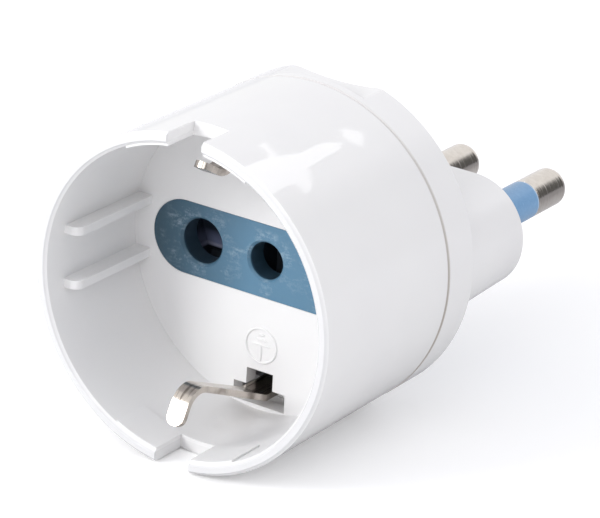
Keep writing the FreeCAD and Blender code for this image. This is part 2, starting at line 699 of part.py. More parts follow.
def make_shutter():
    body = make_body("shutter")
    plate = make_sketch(body, "XZ", S.shutter_back)
    half, hole = S.shutter_half_length, S.live_hole_radius
    draw_box(plate, -half, half, -S.shutter_foot, S.shutter_top)
    window_top, window_foot = hole - S.shutter_travel, -S.shutter_travel - hole
    for side in (1, -1):
        draw_box(plate, side * (S.socket_pitch - hole), side * (S.socket_pitch + hole), window_foot, window_top)
    slot, end = S.earth_hole_radius + S.shutter_gap, S.earth_hole_radius + S.shutter_gap
    draw_box(plate, -slot, slot, -S.shutter_travel - end, end)
    pad(body, plate, S.shutter_thick)
    for right in (S.socket_pitch + hole, hole - S.socket_pitch):
        ramp = make_sketch(body, "YZ", right)
        front, foot = -S.shutter_front - S.shutter_gap, -S.shutter_back - S.ramp_foot
        draw_polygon(ramp, [(front, hole), (foot, window_top), (front, window_top)])
        pocket(body, ramp, 2 * hole)
    return body


def make_shutter_spring():
    """A compression spring on the shutter's upper edge, under the frame's top wall."""
    wire, radius = float(S.spring_wire), float(S.spring_radius)
    height = float(S.spring_length) - 2 * wire
    helix = Part.makeHelix(height / float(S.spring_turns), height, radius)
    corners = [Vector(radius + across * wire, 0, up * wire) for across, up in ((1, 1), (-1, 1), (-1, -1), (1, -1))]
    section = Part.makePolygon(corners + corners[:1])
    coil = Part.Wire(helix).makePipeShell([section], True, True)
    middle = (float(S.shutter_front) + float(S.shutter_back)) / 2
    coil.translate(Vector(0, -middle, float(S.shutter_top) + float(S.spring_gap) + wire))
    return add_solid("shutter_spring", coil)


# The contact carrier: a moulded block with a cell for each contact and a groove for the earth strap

def make_contact_carrier():
    body = make_body("contact_carrier")
    beside = S.cell_gap + S.clamp_gap + S.clamp_sheet
    high = fork_belly_outside(S.live_fork_gap) + beside
    inner = S.socket_pitch - S.live_fork_width / 2 - beside
    outer = S.socket_pitch + S.live_fork_width / 2 + S.cell_gap
    half_length, half_width = outer + S.carrier_end_wall, high + S.carrier_side_wall
    block = make_sketch(body, "XZ", S.carrier_back)
    draw_box(block, -half_length, half_length, -half_width, half_width)
    pad(body, block, S.carrier_length)

    def on_corner(edge):
        middle = edge.CenterOfMass
        return near(abs(middle.x), half_length) and near(abs(middle.z), half_width)
    dress(body, "Fillet", S.carrier_corner, on_corner)
    cells = make_sketch(body, "XZ", S.carrier_front)
    for side in (1, -1):
        draw_box(cells, side * inner, side * outer, -high, high)
    half = S.earth_fork_width / 2
    high = fork_belly_outside(S.earth_fork_gap) + beside
    draw_box(cells, -half - beside, half + S.cell_gap, -high, high)
    pocket(body, cells, S.carrier_length)
    groove = make_sketch(body, "XZ", S.wall_depth + 2 * S.strap_gap + S.strap_thick)
    half = S.strap_width / 2 + S.cell_gap
    reach = half_width + S.cell_gap
    draw_box(groove, -half, half, -reach, reach)
    pocket(body, groove, S.strap_thick + S.strap_gap)
    return body


# The contacts: folded brass forks with steel clamp springs

def fork_belly_outside(gap):
    return gap / 2 + S.fork_belly + S.sheet


def fold_fork(gap, foot_depth, width, centre):
    """A fork that grips a round pin: two jaws that rise from a flat foot, with flared lips."""
    jaw = gap / 2 + S.sheet / 2
    belly = jaw + S.fork_belly
    foot = foot_depth + S.sheet / 2
    jaws_depth = S.fork_end - S.fork_lip
    half = [(jaw + S.fork_flare, S.fork_end), (jaw, jaws_depth), (belly, jaws_depth - S.fork_neck), (belly, foot)]
    path = half + [(-across, depth) for across, depth in reversed(half)]
    bends = [S.jaw_bend, S.jaw_bend, S.fork_bend, S.fork_bend, S.jaw_bend, S.jaw_bend]
    face = fold_strip(path, bends, S.sheet)
    return stand(face, UP, MOUTHWARD, Vector(float(centre - width / 2), 0, 0), width)


def eyelet(centre):
    """A hole through everything in the boss, for a riveted shank."""
    radius = float(S.rivet_radius + S.eyelet_gap)
    return Part.makeCylinder(radius, float(S.wall_depth), Vector(float(centre), -float(S.wall_depth), 0), -MOUTHWARD)


def live_contact():
    """The fork and the foot that is riveted on the live pin, as one stamped piece."""
    fork = fold_fork(S.live_fork_gap, S.foot_depth, S.live_fork_width, S.socket_pitch)
    start = S.socket_pitch + S.live_fork_width / 2 - S.sheet
    length = S.pin_pitch + S.foot_margin - start
    corner = Vector(float(start), -float(S.foot_depth + S.sheet), -float(S.foot_half_width))
    foot = Part.makeBox(float(length), float(S.sheet), float(2 * S.foot_half_width), corner)
    ends = [edge for edge in foot.Edges if near(edge.Length, S.sheet) and edge.CenterOfMass.x > float(start + length / 2)]
    foot = foot.makeFillet(float(S.foot_round), ends)
    return fork.fuse(foot).removeSplitter().cut(eyelet(S.pin_pitch))


def clamp_spring(gap, width, centre):
    """A steel clip that wraps a fork on three sides and presses its jaws together."""
    arm = fork_belly_outside(gap) + S.clamp_gap + S.clamp_sheet / 2
    web = centre - width / 2 - S.clamp_gap - S.clamp_sheet / 2
    path = [(web + S.clamp_arm, arm), (web, arm), (web, -arm), (web + S.clamp_arm, -arm)]
    face = fold_strip(path, [S.clamp_bend, S.clamp_bend], S.clamp_sheet)
    depth = S.fork_end - S.clamp_drop - S.clamp_height
    return stand(face, ALONG, UP, MOUTHWARD * float(depth), S.clamp_height)


def mirrored(shape):
    return shape.mirror(Vector(0, 0, 0), ALONG)


def make_contacts():
    live = live_contact()
    clamp = clamp_spring(S.live_fork_gap, S.live_fork_width, S.socket_pitch)
    earth = fold_fork(S.earth_fork_gap, S.earth_fork_depth, S.earth_fork_width, measure(0))
    return [
        add_solid("line_contact", live),
        add_solid("neutral_contact", mirrored(live)),
        add_solid("earth_contact", earth.cut(eyelet(0))),
        add_solid("line_contact_spring", clamp),
        add_solid("neutral_contact_spring", mirrored(clamp)),
        add_solid("earth_contact_spring", clamp_spring(S.earth_fork_gap, S.earth_fork_width, measure(0))),
    ]


# The earth strap: one folded strip, from the tip of one earth clip to the tip of the other

def clip_path(lean, crown_gap, tip_return, tip_gap):
    """The upper half of the strap's centre line, from the tip of a clip to the foot on the pin."""
    lying = S.wall_depth + S.strap_gap + S.strap_thick / 2
    foot = S.foot_depth + S.strap_thick / 2
    turn_in = S.cavity_radius - S.strap_side_gap - S.strap_thick / 2
    crown = S.clip_reach - lean
    return [(crown + tip_return, S.rim_depth - tip_gap), (crown, S.rim_depth - crown_gap),
            (S.clip_reach, S.clip_foot), (S.clip_reach, lying), (turn_in, lying), (turn_in, foot)]


def taper_waste(side):
    """What is cut from one side of both clips: from full width at the foot to the narrow tip."""
    wide, narrow = side * float(S.strap_width / 2), side * float(S.clip_tip_width / 2)
    foot, taper_end = -float(S.clip_foot), -float(S.rim_depth - S.upper_crown_gap)
    beyond, reach = -float(S.rim_depth + S.rim_bevel), float(S.recess_radius)
    spots = [(wide, foot), (narrow, taper_end), (narrow, beyond), (2 * wide, beyond), (2 * wide, foot)]
    corners = [Vector(across, along, -reach) for across, along in spots]
    return Part.Face(Part.makePolygon(corners + corners[:1])).extrude(UP * (2 * reach))


def make_earth_strap():
    upper = clip_path(S.upper_clip_lean, S.upper_crown_gap, S.upper_tip_return, S.upper_tip_gap)
    lower = clip_path(S.lower_clip_lean, S.lower_crown_gap, S.lower_tip_return, S.lower_tip_gap)
    lower = [(-across, depth) for across, depth in reversed(lower)]
    bends = [S.crown_bend, S.strap_bend, S.strap_bend, S.strap_bend, S.strap_bend]
    face = fold_strip(upper + lower, bends + bends[::-1], S.strap_thick)
    strap = stand(face, UP, MOUTHWARD, ALONG * -float(S.strap_width / 2), S.strap_width)
    for side in (1, -1):
        strap = strap.cut(taper_waste(side))
    taper_end = float(S.rim_depth - S.upper_crown_gap)
    tips = [edge for edge in strap.Edges
            if near(edge.Length, S.strap_thick) and -edge.CenterOfMass.y > taper_end + CLOSE]
    strap = strap.makeFillet(float(S.clip_tip_round), tips)
    return add_solid("earth_strap", strap.cut(eyelet(0)))


# The plug pins: turned brass, nickel plated, with a collar inside the boss and a riveted end

def rivet_outline(foot_end):
    """The hidden end of a pin: collar, shank and riveted head, down to the axis."""
    head = foot_end + S.rivet_head_height
    return [(S.collar_radius, -S.pin_wall), (S.collar_radius, -S.foot_depth), (S.rivet_radius, -S.foot_depth),
            (S.rivet_radius, -foot_end), (S.rivet_head_radius, -foot_end), (S.rivet_head_radius, -head), (0, -head)]


def round_tip():
    """The turned tip of a pin, cut as a few short cones that follow its rounding."""
    points = []
    for step in range(TIP_CUTS + 1):
        angle = math.pi / 2 * step / TIP_CUTS
        across = S.pin_radius - S.pin_tip_round * (1 - math.sin(angle))
        points.append((across, S.pin_length - S.pin_tip_round * (1 - math.cos(angle))))
    return points


def make_pin(label, place, outline):
    body = make_body(label)
    half = make_sketch(body, "XY")
    draw_polygon(half, [(0, S.pin_length)] + round_tip() + outline)
    turn(body, half)
    bind(body, ".Placement.Base.x", place)
    return body


def make_sleeve(label, place):
    body = make_body(label)
    wall = make_sketch(body, "XY")
    bore = S.core_radius + S.pin_gap
    draw_polygon(wall, [(bore, -S.pin_wall), (S.pin_seat_radius, -S.pin_wall), (S.pin_seat_radius, 0),
                        (S.pin_radius, 0), (S.pin_radius, S.sleeve_length), (bore, S.sleeve_length)])
    turn(body, wall)
    bind(body, ".Placement.Base.x", place)
    return body


def make_pins():
    live = [(S.pin_radius, S.sleeve_length), (S.core_radius, S.sleeve_length), (S.core_radius, -S.pin_wall)]
    live += rivet_outline(S.foot_depth + S.sheet)
    earth = [(S.pin_radius, 0), (S.pin_seat_radius, 0), (S.pin_seat_radius, -S.pin_wall)]
    earth += rivet_outline(S.earth_fork_depth + S.sheet)
    return [
        make_pin("line_pin", S.pin_pitch, live),
        make_pin("neutral_pin", -S.pin_pitch, live),
        make_pin("earth_pin", measure(0), earth),
        make_sleeve("line_pin_sleeve", S.pin_pitch),
        make_sleeve("neutral_pin_sleeve", -S.pin_pitch),
    ]


# The two housing screws, driven from the back

def one_screw(side):
    """A pan-head screw with a cross slot, its head in the counterbore and its shank in the post."""
    seat = float(S.boss_length + S.screw_sink)
    head_height, depth = float(S.screw_head_height), float(S.cross_depth)
    spot = Vector(side * float(S.post_x), -seat, side * float(S.post_z))
    shank = Part.makeCylinder(float(S.screw_radius), float(S.screw_length), spot, MOUTHWARD)
    head = Part.makeCylinder(float(S.screw_head_radius), head_height, spot, -MOUTHWARD)
    rim = [edge for edge in head.Edges if near(edge.CenterOfMass.y, head_height - seat) and edge.Closed]
    screw = head.makeChamfer(head_height / 2, rim).fuse(shank)
    wide, long = float(S.cross_width), float(S.cross_length)
    for across, up in ((wide, long), (long, wide)):
        corner = spot + Vector(-across / 2, head_height - depth, -up / 2)
        screw = screw.cut(Part.makeBox(across, depth, up, corner))
    return screw


def make_housing_screws():
    return add_solid("housing_screws", Part.makeCompound([one_screw(1), one_screw(-1)]))


# Build, check and write every piece

def solid_of(piece):
    shape = piece.Shape.copy()
    if shape.isNull() or not shape.isValid() or not shape.Solids:
        raise RuntimeError("%s has no valid solid" % piece.Label)
    return shape


def check_document():
    doc.recompute()
    for thing in doc.Objects:
        if "Invalid" in thing.State or "Error" in thing.State:
            raise RuntimeError("%s: %s %s" % (thing.Name, thing.State, thing.getStatusString()))


def write_pieces(pieces):
    os.makedirs("parts", exist_ok=True)
    shapes = [(piece.Label, solid_of(piece)) for piece in pieces]
    for label, shape in shapes:
        shape.exportStep("parts/%s.step" % label)
        print("%-24s solids %d volume %9.3f" % (label, len(shape.Solids), shape.Volume))


PIECES = [make_front_housing(), make_rear_housing(), make_socket_insert()]
PIECES += [make_shutter_frame(), make_shutter(), make_shutter_spring(), make_contact_carrier()]
PIECES += make_contacts() + [make_earth_strap()] + make_pins() + [make_housing_screws()]
check_document()
write_pieces(PIECES)
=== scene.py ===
"""The look of a Schuko plug adapter: white mouldings, a blue insert, sprung earth clips and round pins."""
import json
import math

import bmesh
import bpy
import numpy as np
from mathutils import Matrix, Vector

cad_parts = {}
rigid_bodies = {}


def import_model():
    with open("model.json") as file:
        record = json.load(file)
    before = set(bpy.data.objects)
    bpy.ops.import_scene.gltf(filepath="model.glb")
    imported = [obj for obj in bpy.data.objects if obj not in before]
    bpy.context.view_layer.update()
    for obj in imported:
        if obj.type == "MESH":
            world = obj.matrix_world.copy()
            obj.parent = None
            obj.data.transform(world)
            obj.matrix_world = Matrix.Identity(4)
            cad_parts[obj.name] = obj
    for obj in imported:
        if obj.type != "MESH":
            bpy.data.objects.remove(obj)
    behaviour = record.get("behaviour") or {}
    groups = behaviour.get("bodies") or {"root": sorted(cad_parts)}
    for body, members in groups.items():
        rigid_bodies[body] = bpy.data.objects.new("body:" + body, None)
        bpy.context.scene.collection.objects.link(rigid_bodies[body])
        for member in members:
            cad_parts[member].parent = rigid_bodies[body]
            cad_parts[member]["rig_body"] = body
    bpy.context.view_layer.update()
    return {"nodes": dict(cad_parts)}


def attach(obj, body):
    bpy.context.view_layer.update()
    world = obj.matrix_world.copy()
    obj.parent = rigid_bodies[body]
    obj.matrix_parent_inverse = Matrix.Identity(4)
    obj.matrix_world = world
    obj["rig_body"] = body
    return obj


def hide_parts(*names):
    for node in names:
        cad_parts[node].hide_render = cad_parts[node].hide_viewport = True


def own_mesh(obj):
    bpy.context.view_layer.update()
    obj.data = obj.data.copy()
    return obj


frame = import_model()
MM = 0.001


# The two housing mouldings: the round shell with its recess, and the ring with the boss for the pins.
# Both are injection moulded in white ABS, polished outside and spark-finished to a satin inside the
# recess, and two screws from the back pull them together at the seam.
WELD = 0.001 * MM
CREASE = math.radians(28)
FACE_WEIGHT = 80


def smooth_copy(node, round_mm, steps=2):
    """A welded copy of a solid, with its curved walls shaded smooth and its sharp edges rounded."""
    mesh = frame["nodes"][node].data.copy()
    shape = bmesh.new()
    shape.from_mesh(mesh)
    bmesh.ops.remove_doubles(shape, verts=shape.verts, dist=WELD)
    shape.to_mesh(mesh)
    shape.free()
    if "custom_normal" in mesh.attributes:
        mesh.attributes.remove(mesh.attributes["custom_normal"])
    mesh.shade_smooth()
    mesh.set_sharp_from_angle(angle=CREASE)
    piece = bpy.data.objects.new(node + "_skin", mesh)
    bpy.context.scene.collection.objects.link(piece)
    if round_mm:
        bevel = piece.modifiers.new("edge", "BEVEL")
        bevel.width = round_mm * MM
        bevel.segments = steps
        bevel.limit_method = "ANGLE"
        bevel.angle_limit = CREASE
        bevel.use_clamp_overlap = True
        flow = piece.modifiers.new("flow", "WEIGHTED_NORMAL")
        flow.weight = FACE_WEIGHT
        flow.keep_sharp = True
    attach(piece, frame["nodes"][node]["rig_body"])
    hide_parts(node)
    return piece


def linear(hex_colour):
    """An sRGB hex colour as linear red, green, blue and alpha."""
    parts = [int(hex_colour[i:i + 2], 16) / 255 for i in (1, 3, 5)]
    curve = [p / 12.92 if p <= 0.04045 else ((p + 0.055) / 1.055) ** 2.4 for p in parts]
    return (*curve, 1.0)


def add(tree, kind, inputs=None, **settings):
    """Adds one node with its settings; each input is a plain value or another node's output."""
    node = tree.nodes.new("ShaderNode" + kind)
    for name, value in settings.items():
        setattr(node, name, value)
    for socket, value in (inputs or {}).items():
        if isinstance(value, bpy.types.NodeSocket):
            tree.links.new(value, node.inputs[socket])
        else:
            node.inputs[socket].default_value = value
    return node


def new_material(name):
    """A material with a bare shader, and the piece's own coordinates to pattern it by."""
    material = bpy.data.materials.new(name)
    material.use_nodes = True
    tree = material.node_tree
    tree.nodes.clear()
    shader = add(tree, "BsdfPrincipled")
    add(tree, "OutputMaterial", {"Surface": shader.outputs["BSDF"]})
    place = add(tree, "TexCoord").outputs["Object"]
    return material, tree, shader, place


def wear(piece, material):
    """Gives a piece one material in place of all that it had."""
    piece.data.materials.clear()
    piece.data.materials.append(material)


def mix_colours(tree, share, first, second):
    """Two colours mixed by a share; a Mix node takes them at inputs 6 and 7 and gives output 2."""
    return add(tree, "Mix", {0: share, 6: first, 7: second}, data_type="RGBA").outputs[2]


HOUSING_WHITE = "#EDEDEC"
HOUSING_SHADE = "#E6E5E6"
RECESS_RADIUS = 19.9 * MM
RECESS_START = -24.0 * MM
FLOW_SIZE = 14.0 * MM
BLOOM_GRAIN = 0.35 * MM
WAVE_SIZE = 2.5 * MM
SEAM_PLACE = -18.5 * MM
SEAM_LINE_TONE = "#A0958B"
SEAM_LINE_FULL, SEAM_LINE_GONE = 0.1 * MM, 0.32 * MM
SEAM_FAINT_ABOVE, SEAM_STRONG_BELOW = 20 * MM, -5 * MM
RIM_PAINTED_SHADE = "#DDDDDE"
RIM_START, RIM_FACE = -44.15 * MM, -44.5 * MM
PLASTIC_IOR = 1.53


def make_housing_plastic():
    """Moulded ABS: a bright, slightly wavy shine outside, and a dull even bloom inside the recess.

    A dark line is painted along the seam, faintest at the top, and painted shade greys the rim's face. Both
    were set to match the photograph.
    """
    material, tree, shader, place = new_material("glossy moulded white ABS")
    flow = add(tree, "TexNoise", {"Vector": place, "Scale": 1 / FLOW_SIZE, "Detail": 2.0})
    clean = mix_colours(tree, flow.outputs["Fac"], linear(HOUSING_WHITE), linear(HOUSING_SHADE))
    parts = add(tree, "SeparateXYZ", {"Vector": place})
    aside = add(tree, "Math", {0: parts.outputs["Y"], 1: SEAM_PLACE}, operation="SUBTRACT")
    beside = add(tree, "Math", {0: aside.outputs["Value"]}, operation="ABSOLUTE")
    # A dark line painted along the seam, fainter towards the top and stronger towards the bottom.
    seam_line = add(tree, "MapRange", {"Value": beside.outputs["Value"], "From Min": SEAM_LINE_FULL,
                                  "From Max": SEAM_LINE_GONE, "To Min": 0.85, "To Max": 0.0})
    # Painted shade: the rim's face is greyed.
    edge = add(tree, "MapRange", {"Value": parts.outputs["Y"], "From Min": RIM_START, "From Max": RIM_FACE})
    rim_shaded = mix_colours(tree, edge.outputs["Result"], clean, linear(RIM_PAINTED_SHADE))
    low = add(tree, "MapRange", {"Value": parts.outputs["Z"], "From Min": SEAM_FAINT_ABOVE,
                                 "From Max": SEAM_STRONG_BELOW, "To Min": 0.3})
    seam_share = add(tree, "Math", {0: seam_line.outputs["Result"], 1: low.outputs["Result"]}, operation="MULTIPLY")
    colour = mix_colours(tree, seam_share.outputs["Value"], rim_shaded, linear(SEAM_LINE_TONE))
    tree.links.new(colour, shader.inputs["Base Color"])
    across = add(tree, "CombineXYZ", {"X": parts.outputs["X"], "Z": parts.outputs["Z"]})
    radius = add(tree, "VectorMath", {0: across.outputs["Vector"]}, operation="LENGTH")
    in_bore = add(tree, "Math", {0: radius.outputs["Value"], 1: RECESS_RADIUS}, operation="LESS_THAN")
    in_front = add(tree, "Math", {0: parts.outputs["Y"], 1: RECESS_START}, operation="LESS_THAN")
    inside = add(tree, "Math", {0: in_bore.outputs["Value"], 1: in_front.outputs["Value"]},
                 operation="MULTIPLY")
    bloom = add(tree, "TexNoise", {"Vector": place, "Scale": 1 / BLOOM_GRAIN, "Detail": 3.0})
    satin = add(tree, "MapRange", {"Value": bloom.outputs["Fac"], "To Min": 0.42, "To Max": 0.55})
    gloss = add(tree, "MapRange", {"Value": flow.outputs["Fac"], "To Min": 0.025, "To Max": 0.05})
    rough = add(tree, "Mix", {0: inside.outputs["Value"], 2: gloss.outputs["Result"],
                              3: satin.outputs["Result"]})
    tree.links.new(rough.outputs[0], shader.inputs["Roughness"])
    waves = add(tree, "TexNoise", {"Vector": place, "Scale": 1 / WAVE_SIZE, "Detail": 1.0})
    height = add(tree, "Mix", {0: inside.outputs["Value"], 2: waves.outputs["Fac"], 3: bloom.outputs["Fac"]})
    bump = add(tree, "Bump", {"Height": height.outputs[0], "Strength": 0.05, "Distance": 0.05 * MM})
    tree.links.new(bump.outputs["Normal"], shader.inputs["Normal"])
    shader.inputs["IOR"].default_value = PLASTIC_IOR
    shader.inputs["Subsurface Weight"].default_value = 0.08
    shader.inputs["Subsurface Radius"].default_value = (1.0, 0.95, 0.9)
    shader.inputs["Subsurface Scale"].default_value = 0.8 * MM
    return material


housing_plastic = make_housing_plastic()
for node, edge_mm in (("front_housing", 0.18), ("rear_housing", 0.2)):
    wear(smooth_copy(node, edge_mm), housing_plastic)


# The earth symbol: a ring with a stem and three bars, raised from the recess floor by the mould. It
# stands upside down, because the adapter's top is at the other clip.
SYMBOL_RADIUS = 2.25
SYMBOL_CENTRE = (0.0, -11.1)
SYMBOL_LINE = 0.34
SYMBOL_RISE = 0.2
SYMBOL_BARS = ((0.1, 1.5), (0.75, 1.0), (1.4, 0.5))
SYMBOL_SUNK = 0.02
RING_STEPS, BAR_STEPS, BEAD_STEPS = 72, 14, 9
BAR_TAPER = 6
FLOOR_DEPTH = 26.7
SAME_PLACE = 0.0005 * MM


def grid_mesh(name, points, wrap_long=False, wrap_round=False):
    """A mesh from a grid of points: rows follow the piece, columns go round its section."""
    rows, columns = points.shape[:2]
    i, j = np.meshgrid(np.arange(rows - (not wrap_long)), np.arange(columns - (not wrap_round)), indexing="ij")
    i, j = i.ravel(), j.ravel()
    below, beside = (i + 1) % rows, (j + 1) % columns
    quads = np.stack([i * columns + j, below * columns + j, below * columns + beside, i * columns + beside], 1)
    mesh = bpy.data.meshes.new(name)
    mesh.from_pydata(points.reshape(-1, 3).tolist(), [], quads.tolist())
    mesh.shade_smooth()
    return mesh


def join_meshes(name, meshes):
    """One outward-facing mesh from several closed or open ones."""
    shape = bmesh.new()
    for mesh in meshes:
        shape.from_mesh(mesh)
        bpy.data.meshes.remove(mesh)
    bmesh.ops.remove_doubles(shape, verts=shape.verts, dist=SAME_PLACE)
    bmesh.ops.recalc_face_normals(shape, faces=shape.faces)
    mesh = bpy.data.meshes.new(name)
    shape.to_mesh(mesh)
    shape.free()
    mesh.shade_smooth()
    return mesh


def new_piece(name, mesh, body, material, replaced=()):
    """A piece of its own mesh, carried by a body, in place of the solids that it shows in more detail."""
    piece = bpy.data.objects.new(name, mesh)
    bpy.context.scene.collection.objects.link(piece)
    wear(piece, material)
    flow = piece.modifiers.new("flow", "WEIGHTED_NORMAL")
    flow.weight = FACE_WEIGHT
    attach(piece, body)
    for node in replaced:
        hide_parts(node)
    return piece


def floor_bead(name, across, up, closed):
    """A raised line on the recess floor: half a round bead carried along a flat path.

    An open line narrows to nothing over the first and last sixth of its length.
    """
    path = np.stack([across, up], 1)
    ahead = np.roll(path, -1, 0) - np.roll(path, 1, 0) if closed else np.gradient(path, axis=0)
    ahead /= np.linalg.norm(ahead, axis=1, keepdims=True)
    side = np.stack([-ahead[:, 1], ahead[:, 0]], 1)
    turn = np.linspace(0, math.pi, BEAD_STEPS)
    reach = np.cos(turn) * SYMBOL_LINE / 2
    rise = np.sin(turn) * SYMBOL_RISE
    growth = np.minimum(1, np.linspace(0, BAR_TAPER, len(path)))
    taper = np.ones(len(path)) if closed else growth * growth[::-1]
    x = path[:, :1] + side[:, :1] * reach * taper[:, None]
    z = path[:, 1:] + side[:, 1:] * reach * taper[:, None]
    y = -(FLOOR_DEPTH - SYMBOL_SUNK + rise * taper[:, None])
    return grid_mesh(name, np.stack([x, y, z], 2) * MM, wrap_long=closed)


def make_symbol():
    """A circle, a stem from its lower edge to the widest bar, and the three bars."""
    turn = np.linspace(0, 2 * math.pi, RING_STEPS, endpoint=False)
    centre_x, centre_z = SYMBOL_CENTRE
    lines = [floor_bead("ring", centre_x + SYMBOL_RADIUS * np.cos(turn),
                        centre_z + SYMBOL_RADIUS * np.sin(turn), True)]
    stem = np.linspace(-SYMBOL_RADIUS, SYMBOL_BARS[0][0], BAR_STEPS)
    lines.append(floor_bead("stem", np.full(BAR_STEPS, centre_x), centre_z + stem, False))
    for place, half in SYMBOL_BARS:
        bar = np.linspace(-half, half, BAR_STEPS)
        lines.append(floor_bead("bar", centre_x + bar, np.full(BAR_STEPS, centre_z + place), False))
    return join_meshes("earth_symbol", lines)


symbol = new_piece("earth_symbol", make_symbol(), "adapter", housing_plastic)


# The blue insert: a stadium plate with the live and earth holes, moulded in polyamide and held by its
# flange behind the recess floor. Pale scuffs lie on its face, most of them close to the holes.
INSERT_BLUE = "#5A849F"
INSERT_DEEP = "#4F7893"
BORE_PAINTED_SHADE = "#1F2E3A"
SCUFF_PALE = "#B4C8D4"
INSERT_PAINTED_SHADE = "#2C434F"
PAINTED_SHADE_START, PAINTED_SHADE_FULL = -2.0 * MM, -16.0 * MM
BORE_START, BORE_FULL = -26.55 * MM, -26.0 * MM
SCUFFS_MOST, SCUFFS_FEW = 2.8 * MM, 6.4 * MM
SCUFF_SLANT = math.radians(-32)
SCUFF_LENGTH = 1.5 * MM
SCUFF_WIDTH = 0.36 * MM
DUST_SIZE = 2.6 * MM
CRUMB_SIZE = 0.5 * MM
HOLE_PITCH = 9.5 * MM


def distance_to(tree, across, parts):
    """How far a point of the face lies from the middle of a hole on the row."""
    flat = add(tree, "CombineXYZ", {"X": across, "Z": parts.outputs["Z"]})
    return add(tree, "VectorMath", {0: flat.outputs["Vector"]}, operation="LENGTH").outputs["Value"]


def make_insert_plastic():
    """A satin blue with pale crumbly strokes, and painted shade that makes the walls inside the holes nearly
    black.

    Its left end is painted darker as shade from the recess wall, to match the photograph.
    """
    material, tree, shader, place = new_material("moulded blue polyamide, scuffed")
    cloud = add(tree, "TexNoise", {"Vector": place, "Scale": 1 / DUST_SIZE, "Detail": 4.0,
                                   "Roughness": 0.65})
    clean = mix_colours(tree, cloud.outputs["Fac"], linear(INSERT_BLUE), linear(INSERT_DEEP))
    parts = add(tree, "SeparateXYZ", {"Vector": place})
    # Painted shade: the left end darkens, as in the shadow of the recess wall.
    darker = add(tree, "MapRange", {"Value": parts.outputs["X"], "From Min": PAINTED_SHADE_START,
                                    "From Max": PAINTED_SHADE_FULL, "To Max": 0.85})
    base = mix_colours(tree, darker.outputs["Result"], clean, linear(INSERT_PAINTED_SHADE))
    outward = add(tree, "Math", {0: parts.outputs["X"]}, operation="ABSOLUTE").outputs["Value"]
    from_live = add(tree, "Math", {0: outward, 1: HOLE_PITCH}, operation="SUBTRACT").outputs["Value"]
    to_live = distance_to(tree, from_live, parts)
    to_earth = distance_to(tree, parts.outputs["X"], parts)
    nearest = add(tree, "Math", {0: to_live, 1: to_earth}, operation="MINIMUM")
    used = add(tree, "MapRange", {"Value": nearest.outputs["Value"], "From Min": SCUFFS_MOST,
                                  "From Max": SCUFFS_FEW, "To Min": 0.8, "To Max": 0.12})
    lay = add(tree, "Mapping", {"Vector": place, "Rotation": (0, SCUFF_SLANT, 0),
                                "Scale": (1 / SCUFF_LENGTH, 1 / SCUFF_LENGTH, 1 / SCUFF_WIDTH)})
    strokes = add(tree, "TexNoise", {"Vector": lay.outputs["Vector"], "Scale": 1.0, "Detail": 4.0,
                                     "Roughness": 0.7})
    crumbs = add(tree, "TexNoise", {"Vector": place, "Scale": 1 / CRUMB_SIZE, "Detail": 5.0,
                                    "Roughness": 0.8})
    mottle = add(tree, "Mix", {0: 0.55, 2: strokes.outputs["Fac"], 3: crumbs.outputs["Fac"]})
    fine = add(tree, "MapRange", {"Value": mottle.outputs[0], "From Min": 0.46, "From Max": 0.66})
    patch = add(tree, "MapRange", {"Value": cloud.outputs["Fac"], "From Min": 0.49, "From Max": 0.65})
    dusty = add(tree, "Math", {0: fine.outputs["Result"], 1: patch.outputs["Result"]}, operation="MULTIPLY")
    scuff = add(tree, "Math", {0: dusty.outputs["Value"], 1: used.outputs["Result"]}, operation="MULTIPLY")
    face = mix_colours(tree, scuff.outputs["Value"], base, linear(SCUFF_PALE))
    # Painted shade darkens the walls inside the holes.
    behind = add(tree, "MapRange", {"Value": parts.outputs["Y"], "From Min": BORE_START,
                                    "From Max": BORE_FULL, "To Max": 0.82})
    colour = mix_colours(tree, behind.outputs["Result"], face, linear(BORE_PAINTED_SHADE))
    tree.links.new(colour, shader.inputs["Base Color"])
    rough = add(tree, "MapRange", {"Value": scuff.outputs["Value"], "To Min": 0.34, "To Max": 0.6})
    tree.links.new(rough.outputs["Result"], shader.inputs["Roughness"])
    bump = add(tree, "Bump", {"Height": strokes.outputs["Fac"], "Strength": 0.06, "Distance": 0.03 * MM})
    tree.links.new(bump.outputs["Normal"], shader.inputs["Normal"])
    shader.inputs["IOR"].default_value = PLASTIC_IOR
    return material


wear(smooth_copy("socket_insert", 0), make_insert_plastic())


# The shutter, its frame and its spring: a dark polyamide plate behind the insert that slides up when two
# pins press its ramps together, with a small steel coil spring above it that closes it again.
SHUTTER_DARK = "#1A202B"
SHUTTER_VIOLET_LIT = "#8F97BC"
SHUTTER_PAINTED_HIGHLIGHT = "#D6D8EE"
RAMP_INNER, RAMP_INNER_FULL = 5.0 * MM, 5.6 * MM
RAMP_OUTER, RAMP_OUTER_FULL = 13.1 * MM, 11.0 * MM
BAND_START, BAND_FULL = 0.0, -2.3 * MM
BAND_FOOT, BAND_FOOT_FULL = -2.95 * MM, -2.75 * MM
SHUTTER_HIGHLIGHT_PLACE = -2.5 * MM
SHUTTER_HIGHLIGHT_FULL, SHUTTER_HIGHLIGHT_GONE = 0.05 * MM, 0.4 * MM
FRAME_GREY = "#3F4650"
FRAME_DEEP = "#363C45"
MOULD_GRAIN = 0.5 * MM


